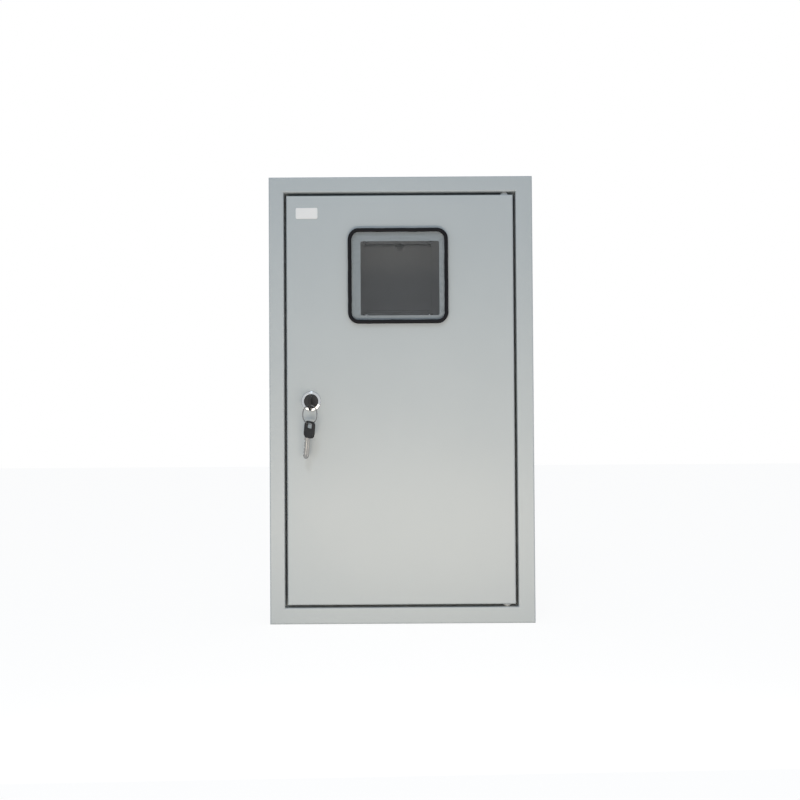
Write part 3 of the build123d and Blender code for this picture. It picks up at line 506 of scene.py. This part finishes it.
# The cam's screw: a hexagon head behind the cam and a plain shank through it into the plug's tail. It is
# turned from bright zinc-plated steel like the nuts.
cam_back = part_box("lock_cam")[1].y
cam_screw_low, cam_screw_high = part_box("cam_screw")
cam_screw_x = (cam_screw_low.x + cam_screw_high.x) / 2
cam_screw_z = (cam_screw_low.z + cam_screw_high.z) / 2
cam_screw_flats = cam_screw_high.z - cam_screw_low.z
shank_radius = 1.95 * mm
cam_screw_head = hexagon_nut(cam_back, cam_screw_high.y, cam_screw_flats, 0.0, cam_screw_x, cam_screw_z)
cam_screw_shank = turned([(0, cam_screw_low.y), (shank_radius, cam_screw_low.y),
                          (shank_radius, cam_back), (0, cam_back)], cam_screw_x, cam_screw_z), False
stands_for(surface("cam_hexagon_screw", "lock_core", bolt_zinc, [cam_screw_head, cam_screw_shank], 28.0),
           "cam_screw")


# The neutral and earth bars: drawn brass with nickel-plated slotted screws, on blue and green moulded feet.
bar_brass = plated("bar_brass", (0.66, 0.46, 0.18), (0.80, 0.59, 0.27), 0.24, 0.4, 0.35)
terminal_nickel = plated("terminal_nickel", (0.58, 0.56, 0.52), (0.70, 0.68, 0.63), 0.2, 0.34)
dress(["neutral_bar", "earth_bar"], bar_brass)
dress(["terminal_screws"], terminal_nickel)


def moulded(name, dark, light, roughness, peel=0.12, specular=0.5):
    """Moulded plastic: an even colour with a fine texture and slightly uneven gloss."""
    material, tree, shader = finish_material(name, roughness, 0.0, specular)
    skin = texture(tree, coat_texture, peel_scale=1500.0, peel=peel, mottle_scale=40.0)
    colour = toned(tree, skin.outputs["Mottle"], dark, light)
    tree.links.new(covered(tree, colour, skin.outputs["Dust"], 0.15, (0.42, 0.41, 0.39)),
                   shader.inputs["Base Color"])
    tree.links.new(spread(tree, skin.outputs["Mottle"], roughness * 0.85, roughness * 1.15),
                   shader.inputs["Roughness"])
    tree.links.new(skin.outputs["Normal"], shader.inputs["Normal"])
    return material


dress(["neutral_bar_feet"], moulded("blue_plastic", (0.012, 0.06, 0.27), (0.018, 0.085, 0.34), 0.38))
dress(["earth_bar_feet"], moulded("green_plastic", (0.02, 0.17, 0.045), (0.03, 0.22, 0.06), 0.38))


# The hinge bushes: light grey moulded cones snapped into the door's folds, on plated steel pins.
dress(["hinge_bush_top", "hinge_bush_bottom"],
      moulded("bush_plastic", (0.55, 0.56, 0.56), (0.62, 0.63, 0.62), 0.4))


# The window's rubber frame: soft black rubber lying on the door, thick enough to stand 5 mm proud, with a
# lip over the rim of the clear moulding. Its edge isn't quite straight, as soft rubber isn't.
door_face_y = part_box("door_panel")[0].y
rubber_low, rubber_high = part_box("window_gasket")
rubber_band = 4.3 * mm
rubber_seat = 1.05 * mm
rubber_seat_height = 2.45 * mm
rubber_round = 1.7 * mm
rubber_corner = 12.6 * mm


def round_corners(half_x, half_z, corner, count):
    """Points, and the directions outwards, at equal distances of travel round a rectangle with round
    corners: four quarter circles about the corners' centres, joined by straight lines."""
    steps = 24
    angle = (np.linspace(0, np.pi / 2, steps) + np.arange(4)[:, None] * np.pi / 2).ravel()
    out = np.stack([np.cos(angle), np.sin(angle)], axis=1)
    centre = np.repeat([(1, 1), (-1, 1), (-1, -1), (1, -1)], steps, axis=0) * (half_x - corner, half_z - corner)
    line = np.vstack([centre + corner * out, centre[:1] + corner * out[:1]])
    out = np.vstack([out, out[:1]])
    travel = np.concatenate([[0], np.cumsum(np.linalg.norm(np.diff(line, axis=0), axis=1))])
    stops = np.linspace(0, travel[-1], count, endpoint=False)
    points, directions = (np.stack([np.interp(stops, travel, values[:, k]) for k in (0, 1)], axis=1)
                          for values in (line, out))
    return points, directions, stops / travel[-1]


def rubber_frame():
    """Profile of (distance in from the outer edge, height) pairs carried round the frame's outline, with
    small waves of the distance and height along the way."""
    half_x, half_z = (rubber_high.x - rubber_low.x) / 2, (rubber_high.z - rubber_low.z) / 2
    points, out, share = round_corners(half_x, half_z, rubber_corner, 300)
    top = door_face_y - rubber_low.y
    bend = np.linspace(0, np.pi / 2, 6)
    outer = [(rubber_round * (1 - math.cos(a)), top - rubber_round * (1 - math.sin(a))) for a in bend]
    inner = [(rubber_band - rubber_round * (1 - math.cos(a)), top - rubber_round * (1 - math.sin(a)))
             for a in bend[::-1]]
    seat = rubber_band - rubber_seat
    profile = [(0, 0), (0.25 * mm, 0.5 * mm), (0.3 * mm, 1.6 * mm), *outer[1:], *inner[:-1],
               (rubber_band, rubber_seat_height + 0.25 * mm), (rubber_band - 0.2 * mm, rubber_seat_height),
               (seat, rubber_seat_height), (seat, 0)]
    inset = np.array(profile)[:, :1]
    height = np.array(profile)[:, 1:]
    waves = sum(size * np.sin(2 * np.pi * (times * share + shift))
                for size, times, shift in ((0.09, 11, 0.1), (0.06, 23, 0.6), (0.04, 47, 0.3))) * mm
    inset = inset + np.maximum(waves, -inset) * (height > 0.1 * mm)
    height = height - np.abs(waves) * (height / top) ** 2
    middle = (rubber_low + rubber_high) / 2
    x = middle.x + points[:, 0] - inset * out[:, 0]
    z = middle.z + points[:, 1] - inset * out[:, 1]
    return np.stack([x, door_face_y - height, z], axis=-1)


rubber_black, rubber_tree, rubber_shader = finish_material("rubber_black", 0.5, 0.0, 0.14)
rubber_skin = texture(rubber_tree, coat_texture, peel_scale=2200.0, peel=0.3, mottle_scale=60.0)
rubber_colour = toned(rubber_tree, rubber_skin.outputs["Mottle"], (0.003, 0.003, 0.005), (0.008, 0.008, 0.010))
rubber_colour = covered(rubber_tree, rubber_colour, rubber_skin.outputs["Dust"], 0.06, (0.25, 0.24, 0.22))
rubber_tree.links.new(rubber_colour, rubber_shader.inputs["Base Color"])
rubber_tree.links.new(spread(rubber_tree, rubber_skin.outputs["Mottle"], 0.42, 0.6),
                      rubber_shader.inputs["Roughness"])
rubber_tree.links.new(rubber_skin.outputs["Normal"], rubber_shader.inputs["Normal"])
stands_for(surface("window_rubber_frame", "door", rubber_black, [(rubber_frame(), True)], 40.0),
           "window_gasket")


# The window itself: one slightly smoked clear moulding with a rim, a shallow pan, snap legs and pips.
def clear_moulding():
    """Clear acrylic with hairline scratches in its gloss. The eye and shiny surfaces see it as solid glass.
    Light on its way to a shadow or a matt surface is only dimmed by it, so what lies behind stays lit."""
    material, tree, shader = finish_material("clear_acrylic", 0.03)
    shader.inputs["Base Color"].default_value = (0.66, 0.69, 0.71, 1)
    shader.inputs["IOR"].default_value = 1.49
    shader.inputs["Transmission Weight"].default_value = 1.0
    place = add(tree, "ShaderNodeTexCoord").outputs["Object"]
    drawn = add(tree, "ShaderNodeMapping", {"Vector": place, "Scale": (40.0, 40.0, 1600.0),
                                            "Rotation": (0.0, 0.6, 0.0)})
    hair = add(tree, "ShaderNodeTexNoise", {"Vector": drawn.outputs[0], "Scale": 2.0, "Detail": 2.0})
    rough = add(tree, "ShaderNodeMapRange", {"Value": hair.outputs["Fac"], "From Min": 0.55, "From Max": 0.8,
                                             "To Min": 0.02, "To Max": 0.09})
    tree.links.new(rough.outputs[0], shader.inputs["Roughness"])
    dimmed = add(tree, "ShaderNodeBsdfTransparent", {"Color": (0.84, 0.85, 0.86, 1)})
    path = add(tree, "ShaderNodeLightPath")
    falling = add(tree, "ShaderNodeMath", {0: path.outputs["Is Shadow Ray"], 1: path.outputs["Is Diffuse Ray"]},
                  operation="MAXIMUM")
    either = add(tree, "ShaderNodeMixShader",
                 {0: falling.outputs[0], 1: shader.outputs[0], 2: dimmed.outputs[0]})
    tree.links.new(either.outputs[0], tree.nodes["Material Output"].inputs["Surface"])
    return material


dress(["window_lens"], clear_moulding())


# The badge: a small blank white plate with a satin face, stuck on the door.
dress(["badge_plate"], moulded("badge_white", (0.88, 0.87, 0.85), (0.93, 0.92, 0.90), 0.3, 0.06))


# The cam lock: a die-cast barrel with two flats and a coarse thread for its nut, whose domed bezel lies on
# the door, all chromed, and a black plug that the key turns.
lock_x, _, lock_z = joints["lock_turn"]["pos_m"]
housing_low, housing_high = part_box("lock_housing")
bezel_radius = (housing_high.x - housing_low.x) / 2
barrel_radius = 9.4 * mm
barrel_flats = 16.6 * mm
barrel_pitch = 1.5 * mm
plug_bore = 7.75 * mm
neck_bore = 5.05 * mm
neck_wall = 1.4 * mm


def lock_barrel():
    """Closed shape: the bezel's profile turned about the lock's axis, the barrel's thread cut by its flats,
    and the two bores turned back to the front."""
    front, end = housing_low.y, housing_high.y
    bend = np.linspace(0, np.pi / 2, 7)
    edge = 1.1 * mm
    dome = [(bezel_radius - edge * (1 - math.sin(a)), front + 0.4 * mm + edge * (1 - math.cos(a)))
            for a in bend]
    bezel = [(plug_bore, front + 0.35 * mm), (plug_bore + 0.25 * mm, front + 0.05 * mm),
             (plug_bore + 0.45 * mm, front), (plug_bore + 0.9 * mm, front),
             (plug_bore + 1.15 * mm, front + 0.12 * mm), *dome, (bezel_radius, door_face_y - 0.15 * mm),
             (bezel_radius - 0.15 * mm, door_face_y)]
    back = [(barrel_radius - 1.2 * mm, end), (neck_bore, end), (neck_bore, end - neck_wall),
            (plug_bore, end - neck_wall)]
    turns = 96
    barrel = thread(barrel_radius, barrel_pitch, 0.7 * mm, door_face_y, end, lock_x, lock_z, turns,
                    barrel_flats)
    back = turned(back, lock_x, lock_z, turns)
    return np.concatenate([turned(bezel, lock_x, lock_z, turns), barrel, back])


chrome = plated("lock_chrome", (0.46, 0.48, 0.50), (0.56, 0.58, 0.60), 0.09, 0.18, 0.05)
stands_for(surface("lock_bezel_and_barrel", "door", chrome, [(lock_barrel(), True)], 40.0),
           "lock_housing")
dress(["lock_plug"], moulded("plug_black", (0.010, 0.010, 0.012), (0.022, 0.022, 0.025), 0.34, 0.25))


# The keys: flat nickel-plated blades, dulled by use, with a groove in each face and five notches, moulded
# into black heads. A head has rounded corners, a raised edge round a sunk grip panel, and a collar round
# its hole for the ring.
head_width = 16.4 * mm
head_length = 19.4 * mm
head_offset = 2.3 * mm
head_half = 1.3 * mm
head_corner_cut = 3.0 * mm
hole_width = 8.0 * mm
hole_length = 5.7 * mm
hole_setback = 5.2 * mm
full_head_wall = 3.4 * mm


def polygon_radius(angle, sides, sharpness):
    """Distance from a middle to the edge of a polygon with rounded corners. Each side comes as (the angle
    it faces, its distance): the positive cosines of the turns to the sides over their distances are summed
    to a high power, and the radius is that root's inverse."""
    facing, distance = np.array(sides).T
    share = np.maximum(np.cos(angle[:, None] - facing), 0) / distance
    return (share ** sharpness).sum(axis=1) ** (-1 / sharpness)


def key_head(origin, across, along):
    """Closed ring of rows about the hole's middle. Each row lies a distance in from the head's outline, or
    out from the hole's, at a height to one side of the head, and both distances shrink where the wall
    between them is narrow. across and along are the blade's width and its direction to the tip."""
    turns = 120
    angle = np.linspace(0, 2 * np.pi, turns, endpoint=False)
    quarter = math.pi / 2
    near, far, side = hole_setback, head_length - hole_setback, head_width / 2
    sides = [(0, side), (2 * quarter, side), (quarter, far), (-quarter, near)]
    for sign in (-1, 1):
        sides.append((quarter + sign * quarter / 2, (side + far - head_corner_cut) / math.sqrt(2)))
        sides.append((-quarter + sign * quarter / 2, (side + near - head_corner_cut) / math.sqrt(2)))
    outline = polygon_radius(angle, sides, 22)
    hole = polygon_radius(angle, [(0, hole_width / 2), (2 * quarter, hole_width / 2),
                                  (quarter, hole_length / 2), (-quarter, hole_length / 2)], 6)
    shrink = np.minimum(1, (outline - hole) / full_head_wall)
    inwards = [(0.0, 0.0), (0.0, 0.75), (0.12, 1.05), (0.4, 1.3), (1.3, 1.3), (1.55, 1.2), (1.7, 1.05)]
    outwards = [(1.6, 1.05), (1.45, 1.2), (1.25, 1.3), (0.75, 1.3), (0.45, 1.1), (0.15, 0.5), (0.05, 0.0)]
    radii = [outline - step * mm * shrink for step, _ in inwards]
    radii += [hole + step * mm * shrink for step, _ in outwards]
    heights = [height * mm * head_half / (1.3 * mm) for _, height in inwards + outwards]
    radii = np.array(radii + radii[-2:0:-1])
    heights = np.array(heights + [-height for height in heights[-2:0:-1]])[:, None, None]
    across, along = np.array(across), np.array(along)
    flat = np.cross(across, along)
    middle = np.array(origin) - across * head_offset - along * far
    return (middle + radii[..., None] * (np.cos(angle)[:, None] * across + np.sin(angle)[:, None] * along)
            + heights * flat)


blade_width = 8.0 * mm
blade_length = 23.4 * mm
blade_half = 0.95 * mm
blade_tip = 2.5 * mm
blade_root = 3.0 * mm
notch_depths = np.array((1.6, 0.9, 1.9, 1.1, 1.5)) * mm
notch_first = 4.0 * mm
notch_pitch = 3.6 * mm
notch_flat = 1.0 * mm


def key_blade(origin, across, along):
    """Section across the blade carried from inside the head to the tip. The section's one edge moves in and
    out with the notches, both close in at the tip, and each face has a groove that runs out before it."""
    notch = notch_first + notch_pitch * np.arange(len(notch_depths))
    stops = np.stack([notch - notch_pitch / 2, notch - notch_flat / 2, notch + notch_flat / 2], axis=1).ravel()
    cuts = np.stack([notch_depths * 0, notch_depths, notch_depths], axis=1).ravel()
    after = notch[-1] + notch_pitch / 2
    tips = blade_length - blade_tip * np.array((1.0, 0.5, 0.2, 0.0))
    stations = np.unique(np.concatenate([[-blade_root, 0], stops, [after], tips]))
    narrowing = np.interp(stations, (blade_length - blade_tip, blade_length), (0, blade_tip))
    left = -blade_width / 2 + narrowing
    right = blade_width / 2 - np.maximum(narrowing, np.interp(stations, [*stops, after], [*cuts, 0]))
    depth = np.interp(stations, (blade_length - 4.5 * mm, blade_length - 3.0 * mm), (0.5, 0.0)) * mm
    bevel = 0.2 * mm
    groove = np.array((-2.1, -1.6, -0.6, -0.1)) * mm
    groove = np.clip(groove, left[:, None] + bevel * 1.1, right[:, None] - bevel * 1.1)
    width = np.column_stack([left, left + bevel, groove, right - bevel, right])
    level = left * 0
    sunk = np.column_stack([level + bevel, level, level, depth, depth, level, level, level + bevel])
    width = np.hstack([width, width[:, ::-1]])
    height = np.hstack([blade_half - sunk, sunk[:, ::-1] - blade_half])
    ends = [np.repeat(np.array([[(left[k] + right[k]) / 2]]), width.shape[1], axis=1) for k in (0, -1)]
    width = np.vstack([ends[0], width, ends[1]])
    height = np.vstack([height[:1] * 0, height, height[:1] * 0])
    stations = np.concatenate([stations[:1], stations, stations[-1:]])
    across, along = np.array(across), np.array(along)
    return (np.array(origin) + width[..., None] * across + stations[:, None, None] * along
            + height[..., None] * np.cross(across, along))


key_black = moulded("key_black", (0.008, 0.008, 0.009), (0.016, 0.016, 0.018), 0.42, 0.3, 0.3)
key_steel = plated("key_steel", (0.26, 0.26, 0.26), (0.38, 0.38, 0.37), 0.38, 0.54, 0.4)
lock_key_shoulder = (lock_x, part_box("lock_key_head")[1].y, lock_z)
stands_for(surface("lock_key_grip", "lock_core", key_black,
                   [(key_head(lock_key_shoulder, (0, 0, 1), (0, 1, 0)), True)], 50.0),
           "lock_key_head")
stands_for(surface("lock_key_steel", "lock_core", key_steel,
                   [(key_blade(lock_key_shoulder, (0, 0, 1), (0, 1, 0)), False)], 25.0),
           "lock_key_blade")


# The key ring and the spare key on it: two turns of flat spring wire, whose ends step over each other at
# the side, and a key that hangs from the ring's lowest point, tilted a little about the wire.
ring_top = np.array(joints["ring_swing"]["pos_m"])
ring_low = np.array(joints["spare_key_swing"]["pos_m"])
wire_way = np.array(joints["spare_key_swing"]["axis"])
wire = 1.3 * mm
turn_half_width = wire * 0.36
turn_half_thickness = wire * 0.2
turn_spacing = wire * 0.41
spare_tilt = math.radians(8.0)
wire_seat = 0.35 * mm
up = np.array((0.0, 0.0, 1.0))
swing_way = np.cross(up, wire_way)


def split_ring():
    """Rounded flat section carried along two turns of a circle. It lies to one side of the ring's plane in
    the first turn, crosses over before the second and ends short of the crossing, and each end is closed
    by shrinking the section to a point."""
    radius = (ring_top[2] - ring_low[2]) / 2
    crossing = math.radians(34.0)
    travel = np.linspace(0, 4 * np.pi - crossing * 1.15, 300)
    crossed = np.clip((travel - 2 * np.pi + crossing) / crossing, 0, 1)
    offset = (crossed ** 2 * (3 - 2 * crossed) - 0.5) * turn_spacing
    ends = np.minimum(np.arange(300), np.arange(300)[::-1])
    scale = np.interp(ends, (0, 1, 2, 3), (0.0, 0.75, 0.95, 1.0))[:, None]
    turn = np.linspace(0, 2 * np.pi, 16, endpoint=False)
    sides = [(0, turn_half_width), (math.pi, turn_half_width),
             (math.pi / 2, turn_half_thickness), (-math.pi / 2, turn_half_thickness)]
    section = polygon_radius(turn, sides, 5)
    out = (radius + scale * section * np.cos(turn))[..., None]
    beside = (offset[:, None] + scale * section * np.sin(turn))[..., None]
    way = np.cos(travel)[:, None] * wire_way + np.sin(travel)[:, None] * up
    middle = (ring_top + ring_low) / 2
    return middle + out * way[:, None] + beside * swing_way


ring_steel = plated("ring_steel", (0.17, 0.17, 0.18), (0.26, 0.26, 0.26), 0.2, 0.34, 0.15)
stands_for(surface("split_key_ring", "ring", ring_steel, [(split_ring(), False)], 40.0),
           "key_ring")

spare_down = swing_way * math.sin(spare_tilt) - up * math.cos(spare_tilt)
spare_across = swing_way * math.cos(spare_tilt) + up * math.sin(spare_tilt)
wire_place = hole_setback - head_length - hole_length / 2 + wire / 2 + wire_seat
spare_shoulder = ring_low - spare_down * wire_place + spare_across * head_offset
stands_for(surface("spare_key_grip", "spare_key", key_black,
                   [(key_head(spare_shoulder, spare_across, spare_down), True)], 50.0),
           "spare_key_head")
stands_for(surface("spare_key_steel", "spare_key", key_steel,
                   [(key_blade(spare_shoulder, spare_across, spare_down), False)], 25.0),
           "spare_key_blade")
